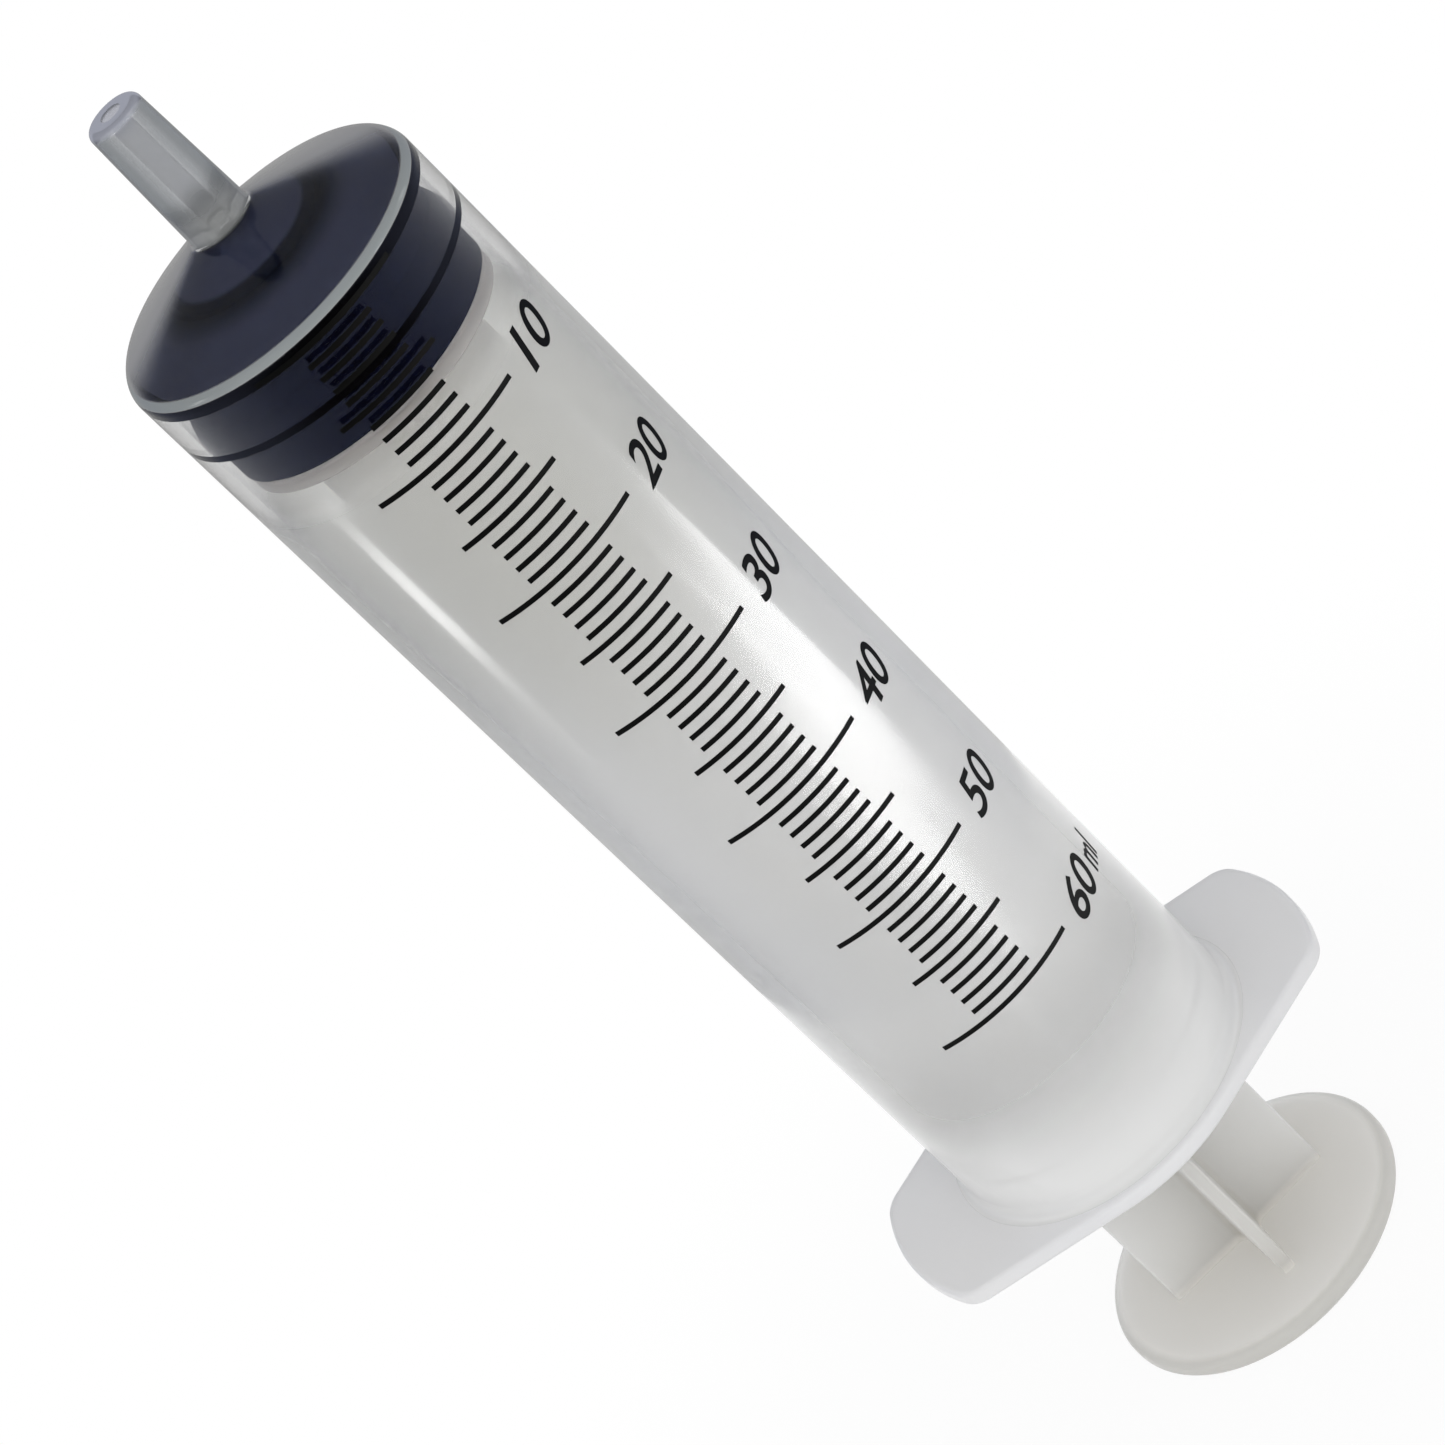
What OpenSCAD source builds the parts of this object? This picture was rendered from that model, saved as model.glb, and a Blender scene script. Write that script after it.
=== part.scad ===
// Plain-nozzle syringe of 60 ml: a moulded barrel with finger wings, a rubber stopper
// and a cross-vaned plunger rod. It stands on its thumb disc with the nozzle up.
// Z runs along the bore, X along the finger wings, and the printed scale faces -Y.

/* [Barrel] */
// Outer diameter of the barrel
barrel_od = 31.3; // [29:0.1:34]
// Wall of the barrel
barrel_wall = 1.2; // [1:0.05:1.5]
// Length of the printed scale, from its first mark to its last
scale_len = 91.5; // [70:0.5:120]
// From the last mark of the scale to the rear face of the finger flange
tail_len = 25.1; // [20:0.1:32]
// From the first mark of the scale to the start of the shoulder's rounding
shoulder_lead = 0.3; // [0.2:0.05:0.6]
// Radius of the rounding where the barrel turns into its front cone
shoulder_r = 1.8; // [1.4:0.1:2.4]
// Rise of the front cone, in degrees from square to the bore
cone_rise = 22.5; // [20:0.5:25]
// Wall of the front cone
cone_wall = 1.3; // [1:0.05:1.5]

/* [Nozzle] */
// Outer diameter of the nozzle at its root
nozzle_root_d = 6.2; // [5.6:0.1:7]
// Outer diameter of the nozzle at its mouth
nozzle_tip_d = 5.5; // [5:0.1:6]
// Height of the nozzle above its root on the front cone
nozzle_len = 13.3; // [9:0.1:18]
// Diameter of the bore through the nozzle
nozzle_bore_d = 2.1; // [1.8:0.1:2.6]
// Radius of the rounded lip round the mouth of the nozzle
nozzle_lip_r = 0.75; // [0.4:0.05:0.9]
// Radius of the fillet round the root of the nozzle
nozzle_root_fillet = 0.6; // [0.3:0.1:1.2]

/* [Finger flange] */
// Thickness of the finger flange
flange_t = 1.8; // [1.5:0.1:2.4]
// Span from wing tip to wing tip
wing_span = 49.2; // [46:0.2:54]
// Width of the flange across the barrel
flange_waist = 34.6; // [34:0.1:38]
// Angle by which the sides of a wing draw in towards its tip, in degrees
wing_taper = 20.8; // [16:0.2:24]
// Radius of the corners of a wing
wing_corner_r = 3.5; // [3:0.1:4.5]
// Rounding of the flange's edges
flange_edge_r = 0.5; // [0.3:0.05:0.7]
// Height of the fillet between barrel and flange
flange_fillet_h = 1.6; // [1:0.1:2]
// Width of the fillet between barrel and flange
flange_fillet_w = 1; // [0.5:0.1:1.1]

/* [Bore mouth] */
// Lead-in chamfer at the open end of the bore
mouth_chamfer = 0.5; // [0.3:0.05:0.6]
// From the rear face of the flange to the middle of the retaining bead
bead_inset = 6; // [4:0.5:9]
// Height of the retaining bead that keeps the stopper in the bore
bead_h = 0.35; // [0.2:0.05:0.5]
// Length of the retaining bead along the bore
bead_len = 2.4; // [1.6:0.1:3.2]

/* [Stopper] */
// Length of the stopper behind the first mark of the scale
stopper_len = 10.1; // [8.6:0.1:12]
// Gap between a sealing rib and the bore, as a running fit
rib_clearance = 0.05; // [0.02:0.01:0.1]
// Gap between the stopper's cone and the cone of the barrel when it is pushed home
seat_gap = 0.3; // [0.2:0.05:0.5]
// Width of a sealing rib's crest along the bore
rib_crest = 0.45; // [0.3:0.05:0.7]
// From the first mark of the scale to the rear edge of the front rib's crest
front_rib_z = 0.35; // [0.3:0.05:0.5]
// From the first mark of the scale to the rear edge of the rear rib's crest
rear_rib_z = 5.65; // [5:0.05:6.2]
// Depth of the recess between the ribs, below their crests
recess_depth = 0.85; // [0.5:0.05:1.2]
// Depth of the stopper's skirt behind the rear rib, below the crests
skirt_depth = 0.7; // [0.5:0.05:1]
// Radius of the moulded ring groove on the stopper's front cone
nose_groove_ring_r = 7.3; // [7:0.1:9]
// Width of the ring groove
nose_groove_w = 1.3; // [0.8:0.1:1.6]
// Depth of the ring groove
nose_groove_depth = 0.45; // [0.3:0.05:0.6]
// Diameter of the flat at the tip of the stopper's cone
nose_flat_d = 3; // [2:0.2:4]

/* [Plunger rod] */
// Diameter of the thumb disc
thumb_d = 31.8; // [28:0.2:36]
// Thickness of the thumb disc
thumb_t = 2; // [1.6:0.1:2.6]
// Rounding of the thumb disc's rim
thumb_edge_r = 0.75; // [0.4:0.05:0.8]
// Gap between thumb disc and finger flange when the plunger is pushed home
finger_gap = 22.6; // [18:0.2:30]
// Width across the vanes of the rod
vane_span = 19.2; // [16:0.2:22]
// Thickness of a vane at its outer edge
vane_tip_t = 1.3; // [1:0.1:1.6]
// Thickness of a vane where it meets the middle of the rod
vane_root_t = 1.8; // [1.6:0.1:2.4]
// Radius of the fillet between two vanes
vane_fillet = 1; // [0.5:0.1:1.5]
// Thickness of the disc that carries the stopper
carrier_t = 1.4; // [1.2:0.1:2]
// Rounding of the carrier disc's rim
carrier_edge_r = 0.3; // [0.2:0.05:0.5]

/* [Snap head] */
// Diameter of the round neck that turns in the stopper's mouth
neck_d = 13; // [11:0.2:14]
// Diameter of the snap head inside the stopper
head_d = 17.6; // [16.4:0.2:18.4]
// Thickness of the head's round plate
head_plate_t = 1.2; // [1:0.1:1.5]
// Height of the four ribs on top of the head
head_rib_h = 2.8; // [2:0.1:3.2]
// Length of the stopper's lip, which the head snaps over
lip_len = 2.5; // [2:0.1:3]
// Running gap between the neck and the stopper's lip
neck_clearance = 0.08; // [0.04:0.01:0.1]
// Running gap between the head and the pocket of the stopper
head_clearance = 0.3; // [0.2:0.05:0.5]
// Gap along the bore between the carrier disc, the lip and the head
end_play = 0.08; // [0.05:0.01:0.15]

/* [Hidden] */
$fn = 96;

// Steps of an arc that is turned into a lathe profile
arc_steps = 10;
// Steps of the rounding on the flange's edges
edge_steps = 3;
// Overrun of every cut past the face that it opens
over = 0.5;

barrel_r = barrel_od / 2;
bore_r = barrel_r - barrel_wall;
nozzle_bore_r = nozzle_bore_d / 2;
nozzle_tip_r = nozzle_tip_d / 2;
nozzle_root_r = nozzle_root_d / 2;

// Heights along the bore, with the thumb disc on z = 0 and the plunger pushed home
flange_z = thumb_t + finger_gap;
flange_top_z = flange_z + flange_t;
zero_z = flange_z + tail_len + scale_len;
shoulder_z = zero_z + shoulder_lead;
bead_z = flange_z + bead_inset;

// Where the shoulder's rounding runs out into the front cone
cone_r0 = barrel_r - shoulder_r * (1 - sin(cone_rise));
cone_z0 = shoulder_z + shoulder_r * cos(cone_rise);
// Height of the outer cone, of the cone inside the barrel and of the stopper's cone at radius r
function cone_z(r) = cone_z0 + (cone_r0 - r) * tan(cone_rise);
function inner_cone_z(r) = cone_z(r) - cone_wall / cos(cone_rise);
function stopper_cone_z(r) = inner_cone_z(r) - seat_gap / cos(cone_rise);
nozzle_root_z = cone_z(nozzle_root_r);
tip_z = nozzle_root_z + nozzle_len;

// Stopper
rib_r = bore_r - rib_clearance;
recess_r = rib_r - recess_depth;
skirt_r = rib_r - skirt_depth;
front_rib_rear_z = zero_z - front_rib_z;
rear_rib_rear_z = zero_z - rear_rib_z;
stopper_rear_z = zero_z - stopper_len;
// Rise of a rib's steep flank and of the slow flank in front of the rear rib
steep_flank_share = 0.65;
slow_flank_share = 2.3;
steep_flank = recess_depth * steep_flank_share;
slow_flank = recess_depth * slow_flank_share;
// Chamfer at the rear edge of the skirt, as a share of the skirt's depth
skirt_chamfer_share = 0.6;
skirt_chamfer = skirt_depth * skirt_chamfer_share;
neck_r = neck_d / 2;
head_r = head_d / 2;
mouth_r = neck_r + neck_clearance;
pocket_r = head_r + head_clearance;
lip_z = stopper_rear_z + lip_len;
// Lead-in at the mouth of the lip, as a share of its length
lip_chamfer_share = 0.3;
lip_chamfer = lip_len * lip_chamfer_share;

// Plunger rod
carrier_z = stopper_rear_z - end_play;
// The carrier disc is smaller than the skirt by this share of the skirt's depth
carrier_inset_share = 0.2;
carrier_r = skirt_r - skirt_depth * carrier_inset_share;
head_z = lip_z + end_play;
head_top_z = head_z + head_plate_t + head_rib_h;
// The ribs on the head run from just inside its plate to this share of its radius at the top
head_top_share = 0.55;
head_top_r = head_r * head_top_share;
pocket_top_z = head_top_z + head_clearance;

// Points along an arc, from angle a0 to a1
function arc(r, z, rad, a0, a1) = [
    for (i = [0 : arc_steps])
        let (a = a0 + (a1 - a0) * i / arc_steps)
            [r + rad * cos(a), z + rad * sin(a)]
];

// Outside of barrel and nozzle as one lathe profile
function barrel_outline() =
    let (
        draft = atan((nozzle_root_r - nozzle_tip_r) / nozzle_len),
        // Fillet tangent to the cone and to the side of the nozzle
        f = nozzle_root_fillet,
        fr = nozzle_root_r + f,
        fz = cone_z(fr) + f / cos(cone_rise)
    ) concat(
        [[0, flange_z], [barrel_r + flange_fillet_w, flange_z]],
        [for (i = [0 : arc_steps])
            let (a = 90 * i / arc_steps)
                [barrel_r + flange_fillet_w * (1 - sin(a)),
                 flange_top_z + flange_fillet_h * (1 - cos(a))]],
        arc(barrel_r - shoulder_r, shoulder_z, shoulder_r, 0, 90 - cone_rise),
        arc(fr, fz, f, 270 - cone_rise, 180 + draft),
        arc(nozzle_tip_r - nozzle_lip_r, tip_z - nozzle_lip_r, nozzle_lip_r, draft, 90),
        [[0, tip_z]]
    );

// Inside of the barrel: mouth, retaining bead, bore, cone and the bore of the nozzle
function bore_outline() =
    let (
        half = bead_len / 2,
        // Circle through the bead's two feet and its crest
        rad = (half * half + bead_h * bead_h) / (2 * bead_h),
        sweep = asin(half / rad)
    ) concat(
        [[0, flange_z - over],
         [bore_r + mouth_chamfer, flange_z - over],
         [bore_r + mouth_chamfer, flange_z],
         [bore_r, flange_z + mouth_chamfer]],
        [for (i = [0 : arc_steps])
            let (a = sweep * (2 * i / arc_steps - 1))
                [bore_r - bead_h + rad * (1 - cos(a)), bead_z + rad * sin(a)]],
        [[bore_r, inner_cone_z(bore_r)],
         [nozzle_bore_r, inner_cone_z(nozzle_bore_r)],
         [nozzle_bore_r, tip_z + over],
         [0, tip_z + over]]
    );

// Lathe or bar profile of a plate with rounded edges, from its middle out to r
module rim_profile(r, t, edge) {
    polygon(concat(
        [[0, 0]],
        arc(r - edge, edge, edge, -90, 0),
        arc(r - edge, t - edge, edge, 0, 90),
        [[0, t]]
    ));
}

module rounded_disc(r, t, edge) {
    rotate_extrude() rim_profile(r, t, edge);
}

// Outline of the finger flange, drawn in by inset: round tips, rounded corners, straight
// sides that draw in towards the tips, and a waist round the barrel
function flange_outline(inset) =
    let (
        waist_r = flange_waist / 2,
        tip_r = wing_span / 2,
        // A corner's centre lies on the circle inside the tip and on the line inside the side
        reach = tip_r - wing_corner_r,
        side_a = 90 - wing_taper,
        corner_a = side_a - acos((waist_r - wing_corner_r) / reach),
        corner = [reach * cos(corner_a), reach * sin(corner_a)],
        half_tip = arc(0, 0, tip_r - inset, -corner_a, corner_a),
        quarter = arc(corner[0], corner[1], wing_corner_r - inset, corner_a, side_a),
        waist = arc(0, 0, waist_r - inset, side_a, 180 - side_a),
        half = concat(
            [for (i = [1 : len(half_tip) - 2]) half_tip[i]],
            quarter,
            waist,
            [for (i = [len(quarter) - 1 : -1 : 0]) [-quarter[i][0], quarter[i][1]]]
        )
    ) concat(half, [for (p = half) [-p[0], -p[1]]]);

// The flange as a loft through its outline, with the same rounding on every edge
module finger_flange() {
    sections = concat(
        [for (i = [0 : edge_steps])
            let (a = 90 * i / edge_steps)
                [flange_edge_r * (1 - sin(a)), flange_edge_r * (1 - cos(a))]],
        [for (i = [edge_steps : -1 : 0])
            let (a = 90 * i / edge_steps)
                [flange_edge_r * (1 - sin(a)), flange_t - flange_edge_r * (1 - cos(a))]]
    );
    rings = [for (s = sections) [for (p = flange_outline(s[0])) [p[0], p[1], s[1]]]];
    n = len(rings[0]);
    last = len(rings) - 1;
    polyhedron(
        points = concat([[0, 0, 0]], [for (r = rings) each r], [[0, 0, flange_t]]),
        faces = concat(
            [for (i = [0 : n - 1]) [0, 1 + i, 1 + (i + 1) % n]],
            [for (k = [0 : last - 1], i = [0 : n - 1]) let (j = (i + 1) % n)
                each [[1 + k * n + i, 1 + (k + 1) * n + i, 1 + (k + 1) * n + j],
                      [1 + k * n + i, 1 + (k + 1) * n + j, 1 + k * n + j]]],
            [for (i = [0 : n - 1])
                [1 + last * n + i, 1 + (last + 1) * n, 1 + last * n + (i + 1) % n]]
        )
    );
}

module barrel() {
    color([0.79, 0.79, 0.78])
        difference() {
            union() {
                rotate_extrude() polygon(barrel_outline());
                translate([0, 0, flange_z]) finger_flange();
            }
            rotate_extrude() polygon(bore_outline());
        }
}

// Stopper: sealing ribs outside, ring groove on its front cone, pocket and lip inside
function stopper_outline() =
    let (
        edge_r = rib_r - steep_flank,
        groove_half = nose_groove_w / 2,
        ga = nose_groove_ring_r + groove_half,
        gb = nose_groove_ring_r - groove_half
    ) [
        [mouth_r + lip_chamfer, stopper_rear_z],
        [skirt_r - skirt_chamfer, stopper_rear_z],
        [skirt_r, stopper_rear_z + skirt_chamfer],
        [skirt_r, rear_rib_rear_z - steep_flank],
        [rib_r, rear_rib_rear_z],
        [rib_r, rear_rib_rear_z + rib_crest],
        [recess_r, rear_rib_rear_z + rib_crest + slow_flank],
        [recess_r, front_rib_rear_z - steep_flank],
        [rib_r, front_rib_rear_z],
        [rib_r, front_rib_rear_z + rib_crest],
        [edge_r, stopper_cone_z(edge_r)],
        [ga, stopper_cone_z(ga)],
        [nose_groove_ring_r, stopper_cone_z(nose_groove_ring_r) - nose_groove_depth],
        [gb, stopper_cone_z(gb)],
        [nose_flat_d / 2, stopper_cone_z(nose_flat_d / 2)],
        [0, stopper_cone_z(nose_flat_d / 2)],
        [0, pocket_top_z],
        [head_top_r + head_clearance, pocket_top_z],
        [pocket_r, head_z + head_plate_t + head_clearance],
        [pocket_r, lip_z],
        [mouth_r, lip_z],
        [mouth_r, stopper_rear_z + lip_chamfer]
    ];

module stopper() {
    color([0.11, 0.12, 0.2])
        rotate_extrude() polygon(stopper_outline());
}

// Cross of four vanes that thin towards their edges, with a fillet between each two
module vane_cross(span) {
    half = span / 2;
    root = vane_root_t / 2;
    tip = vane_tip_t / 2;
    inner = root + vane_fillet;
    polygon([
        for (q = [0 : 3])
            for (p = concat(
                [[half, -tip], [half, tip]],
                [for (i = [0 : arc_steps])
                    let (a = 270 - 90 * i / arc_steps)
                        [inner + vane_fillet * cos(a), inner + vane_fillet * sin(a)]]
            ))
                [p[0] * cos(90 * q) - p[1] * sin(90 * q),
                 p[0] * sin(90 * q) + p[1] * cos(90 * q)]
    ]);
}

// One of the two crossed ribs that lead the snap head into the stopper
module head_rib() {
    rotate([90, 0, 0])
        translate([0, 0, -vane_root_t / 2])
            linear_extrude(vane_root_t)
                polygon([
                    [-head_r, head_z + head_plate_t],
                    [head_r, head_z + head_plate_t],
                    [head_top_r, head_top_z],
                    [-head_top_r, head_top_z]
                ]);
}

module plunger_rod() {
    color([0.77, 0.76, 0.73]) {
        rounded_disc(thumb_d / 2, thumb_t, thumb_edge_r);
        translate([0, 0, thumb_t - thumb_edge_r])
            linear_extrude(carrier_z - carrier_t - thumb_t + 2 * thumb_edge_r)
                vane_cross(vane_span);
        translate([0, 0, carrier_z - carrier_t])
            rounded_disc(carrier_r, carrier_t, carrier_edge_r);
        translate([0, 0, carrier_z - carrier_t / 2])
            cylinder(r = neck_r, h = head_z - carrier_z + carrier_t / 2 + head_plate_t / 2);
        translate([0, 0, head_z])
            cylinder(r = head_r, h = head_plate_t);
        head_rib();
        rotate([0, 0, 90]) head_rib();
    }
}

barrel();
stopper();
plunger_rod();
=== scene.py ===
"""Looks of the plain-nozzle syringe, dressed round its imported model, in metres."""
import math

import bpy
from mathutils import Matrix, Quaternion, Vector


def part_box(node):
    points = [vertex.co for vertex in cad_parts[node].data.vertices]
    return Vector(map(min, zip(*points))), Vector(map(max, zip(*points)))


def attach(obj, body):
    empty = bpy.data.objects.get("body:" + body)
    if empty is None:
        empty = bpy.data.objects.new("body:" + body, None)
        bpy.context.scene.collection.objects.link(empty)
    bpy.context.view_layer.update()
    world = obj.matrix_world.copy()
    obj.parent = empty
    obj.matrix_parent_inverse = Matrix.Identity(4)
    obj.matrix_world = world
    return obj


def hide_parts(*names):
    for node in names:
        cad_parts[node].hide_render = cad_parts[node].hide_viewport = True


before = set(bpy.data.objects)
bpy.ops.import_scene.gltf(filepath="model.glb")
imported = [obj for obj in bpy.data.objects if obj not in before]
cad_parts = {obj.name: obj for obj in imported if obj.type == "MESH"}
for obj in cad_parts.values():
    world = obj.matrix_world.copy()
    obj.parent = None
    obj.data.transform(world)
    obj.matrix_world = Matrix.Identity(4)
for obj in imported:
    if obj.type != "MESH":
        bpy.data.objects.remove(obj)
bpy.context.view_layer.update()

MM = 0.001
AROUND = 192  # steps of every turned shape
ARC = 12  # steps of a rounding in a turned outline
WELD = 0.001 * MM  # nearer than this is the same point
LEVEL = 0.999  # share of a level face's normal that points up or down
LEAN = 0.1  # share of a normal from which a face counts as facing that way
STRAIGHT = 0.02  # radians, a corner that turns less isn't rounded

# Barrel, from the frame
barrel_low, barrel_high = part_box("barrel")
TIP_Z = barrel_high.z
FLANGE_Z = barrel_low.z
SPAN = barrel_high.x * 2
WAIST_R = barrel_high.y
FLANGE_T = 1.8 * MM
FLANGE_TOP_Z = FLANGE_Z + FLANGE_T
BARREL_R = 15.65 * MM
BORE_R = 14.45 * MM
ZERO_Z = FLANGE_Z + 116.6 * MM
SHOULDER_Z = ZERO_Z + 0.3 * MM
SHOULDER_R = 1.8 * MM
CONE_RISE = 22.5  # degrees
CONE_WALL = 1.3 * MM
NOZZLE_ROOT_R = 3.1 * MM
NOZZLE_TIP_R = 2.75 * MM
NOZZLE_BORE_R = 1.05 * MM
NOZZLE_LIP = 0.75 * MM
ROOT_FILLET = 0.6 * MM
FLANGE_EDGE = 0.5 * MM
FLANGE_FACE = 100 * MM * MM  # its two flat faces are larger than this
FILLET_H = 1.6 * MM
FILLET_W = 1.0 * MM
WING_CORNER = 3.5 * MM
WING_TAPER = 20.8  # degrees
MOUTH_CHAMFER = 0.5 * MM
BEAD_Z = FLANGE_Z + 6 * MM
BEAD_H = 0.35 * MM
BEAD_LEN = 2.4 * MM
FRONT_CONE_Z = ZERO_Z + 1.7 * MM  # the cone's finish starts here
# Painted shade: the nozzle's inlet, which shows dark through the cone
INLET_SHADE_R = 1.5 * MM  # dark patch round the nozzle's bore

# Heights between which a look of the barrel comes in or goes out
FOOT_FADE = (FLANGE_TOP_Z + 0.6 * MM, FLANGE_TOP_Z + 17.6 * MM)
UPPER_FADE = (ZERO_Z - 61.2 * MM, ZERO_Z - 26.2 * MM)
TUBE_FADE = (ZERO_Z - 14.2 * MM, ZERO_Z - 11.2 * MM)
FRONT_FADE = (ZERO_Z - 17.2 * MM, ZERO_Z - 10.7 * MM)
BORE_FRONT_FADE = (ZERO_Z - 17.2 * MM, ZERO_Z - 11.7 * MM)
# Painted light: the bright band where light is piped through the shoulder's rounding
PAINTED_LIGHT_BAND_FADE = (ZERO_Z + 0.8 * MM, ZERO_Z + 0.95 * MM)
CONE_FADE = (FRONT_CONE_Z - 0.15 * MM, FRONT_CONE_Z)
NOZZLE_FADE = (ZERO_Z + 6.5 * MM, ZERO_Z + 7.3 * MM)
ROOT_FADE_IN = (ZERO_Z + 6.6 * MM, ZERO_Z + 7 * MM)
ROOT_FADE_OUT = (ZERO_Z + 8.3 * MM, ZERO_Z + 10.8 * MM)
MOUTH_FADE = (TIP_Z - 0.9 * MM, TIP_Z - 0.2 * MM)
BORE_MOUTH_FADE = (TIP_Z - 2.5 * MM, TIP_Z - 0.5 * MM)

# Stopper, from the frame
stopper_low, stopper_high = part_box("stopper")
STOPPER_REAR_Z = stopper_low.z
RECESS_R = stopper_high.x - 0.85 * MM
SKIRT_R = stopper_high.x - 0.7 * MM
RIB_R = BORE_R + 0.02 * MM  # the rubber is squeezed against the bore
RIB_CREST = 0.7 * MM  # squeezed flat
FRONT_CREST = 1.08 * MM
FRONT_RIB_Z = ZERO_Z - 0.6 * MM
REAR_RIB_Z = ZERO_Z - 5.8 * MM
STEEP = 0.55 * MM  # height of a rib's steep flank
SLOW = 1.95 * MM  # height of its gentle flank
SEAT_GAP = 0.3 * MM  # between the two cones
NOSE_R = 1.5 * MM  # flat tip of the front cone
GROOVE_R = 7.3 * MM
GROOVE_HALF = 0.65 * MM
GROOVE_DEPTH = 0.45 * MM
SKIRT_EDGE = 0.42 * MM
MOUTH_EDGE = 0.75 * MM
RUBBER_EDGE = 0.15 * MM  # rounding of every corner of the rubber
LIP_Z = STOPPER_REAR_Z + 2.5 * MM
NECK_GAP = 0.08 * MM
HEAD_GAP = 0.3 * MM
SQUEEZED_R = BORE_R - 0.15 * MM  # rubber outside this is pressed on the bore
FRONT_RUBBER_Z = ZERO_Z + 0.55 * MM  # the front cone's rubber starts here

# Plunger rod, from the frame
THUMB_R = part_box("plunger_rod")[1].x
THUMB_T = 2 * MM
THUMB_EDGE = 0.75 * MM
VANE_HALF = 9.6 * MM
VANE_TIP = 0.65 * MM
VANE_ROOT = 0.9 * MM
VANE_FILLET = 1 * MM
VANE_EDGE = 0.3 * MM
CARRIER_Z = STOPPER_REAR_Z - NECK_GAP
CARRIER_T = 1.4 * MM
CARRIER_R = SKIRT_R - 0.14 * MM
CARRIER_EDGE = 0.3 * MM
NECK_R = 6.5 * MM
HEAD_R = 8.8 * MM
HEAD_Z = LIP_Z + NECK_GAP
HEAD_PLATE = 1.2 * MM
HEAD_RIB = 2.8 * MM
HEAD_RIB_R = HEAD_R - 0.15 * MM
HEAD_TOP_R = HEAD_R * 0.55
# Where the rod's painted light and shade change: shade on the disc's rim, light on the disc and on
# the rod inside the barrel
RIM_PAINTED_SHADE_FADE = (THUMB_R - 1.3 * MM, THUMB_R - 0.3 * MM)  # radii
DISC_FADE = (THUMB_T, THUMB_T + 1.2 * MM)  # heights, as the next two
SHAFT_PAINTED_LIGHT_FADE = (THUMB_T + 18 * MM, THUMB_T + 30 * MM)
CARRIER_FADE = (CARRIER_Z - 1.82 * MM, CARRIER_Z - 1.42 * MM)

# Printed scale
ML = 1.525 * MM
INK = 0.02 * MM
LINE = 0.52 * MM
MARK_ANGLES = {"short": 12.8, "medium": 19.9, "long": 28.9}  # degrees each side of the middle
FULL = 60  # ml at the last mark
DIGIT_H = 4.15 * MM
DIGIT_DROP = 0.08 * MM
LABEL_START = 9.9 * MM
LABEL_END = 15.45 * MM
UNIT_START = LABEL_END + 0.5 * MM
UNIT_END = LABEL_END + 3.9 * MM
UNIT_H = 3.2 * MM
UNIT_DROP = 0.55 * MM
LABEL_SLANT = 0.24
LABEL_WEIGHT = 0.012
LABEL_SLICE = 0.4 * MM
DOUBLED = 0.003  # corners of a letter nearer than this share of its size are one

# Camera, fitted to the photograph of 1445 by 1445 pixels
CAMERA_AT = Vector((0.00096, -0.41541, 0.31367))
CAMERA_AIM = Vector((-0.00064, 0, 0.08127))
CAMERA_ROLL = math.radians(-45.666)
CAMERA_LENS = 134.82
FLOOR_R = 100 * MM
FLOOR_Z = -0.05 * MM
FLOOR_GLOW = 0.92  # share of glow round the syringe, which grows to 1 at the rim
FLOOR_LEAST_GLOW = 0.25
LAMP_AIM = Vector((6.1, -13.8, 86.7)) * MM
TO_STRIP = (0.628, -0.546, -0.554)  # way from the barrel to the strip of lamps on the right

UP = Vector((0, 0, 1))
PP_IOR = 1.49

# Finishes of the barrel's and the stopper's faces, in the order that dress() gets them
OUTSIDE, BORE, FLANGE, NOZZLE_BORE, INNER_CONE, FRONT_CONE = range(6)
# The stopper's three finishes are one rubber: the front painted lighter where light falls on it, the
# squeezed ribs painted darker
SIDE, FRONT_PAINTED_LIGHT, SQUEEZED_PAINTED_SHADE = range(3)


def cos(degrees):
    return math.cos(math.radians(degrees))


def sin(degrees):
    return math.sin(math.radians(degrees))


def cone_z(r):
    """Height of the outer cone of the barrel at radius r."""
    r0 = BARREL_R - SHOULDER_R * (1 - sin(CONE_RISE))
    z0 = SHOULDER_Z + SHOULDER_R * cos(CONE_RISE)
    return z0 + (r0 - r) * math.tan(math.radians(CONE_RISE))


def inner_cone_z(r):
    """Height of the cone inside the barrel at radius r."""
    return cone_z(r) - CONE_WALL / cos(CONE_RISE)


def stopper_cone_z(r):
    """Height of the stopper's front cone at radius r."""
    return inner_cone_z(r) - SEAT_GAP / cos(CONE_RISE)


def only(*objects):
    """Selects these objects alone and makes the first one active."""
    bpy.ops.object.select_all(action="DESELECT")
    for obj in objects:
        obj.select_set(True)
    bpy.context.view_layer.objects.active = objects[0]
    return objects[0]


def editing(obj):
    """Selects this object alone and goes into edit mode."""
    only(obj)
    bpy.context.tool_settings.mesh_select_mode = (True, False, False)
    bpy.ops.object.mode_set(mode="EDIT")


def pick(obj, kind, test):
    """Leaves edit mode, selects the vertices, edges or polygons that pass the test, and goes back."""
    bpy.ops.object.mode_set(mode="OBJECT")
    mesh = obj.data
    for group in (mesh.vertices, mesh.edges, mesh.polygons):
        group.foreach_set("select", [False] * len(group))
    for item in getattr(mesh, kind):
        item.select = test(item)
    modes = ("vertices", "edges", "polygons")
    bpy.context.tool_settings.mesh_select_mode = [kind == mode for mode in modes]
    bpy.ops.object.mode_set(mode="EDIT")


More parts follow.
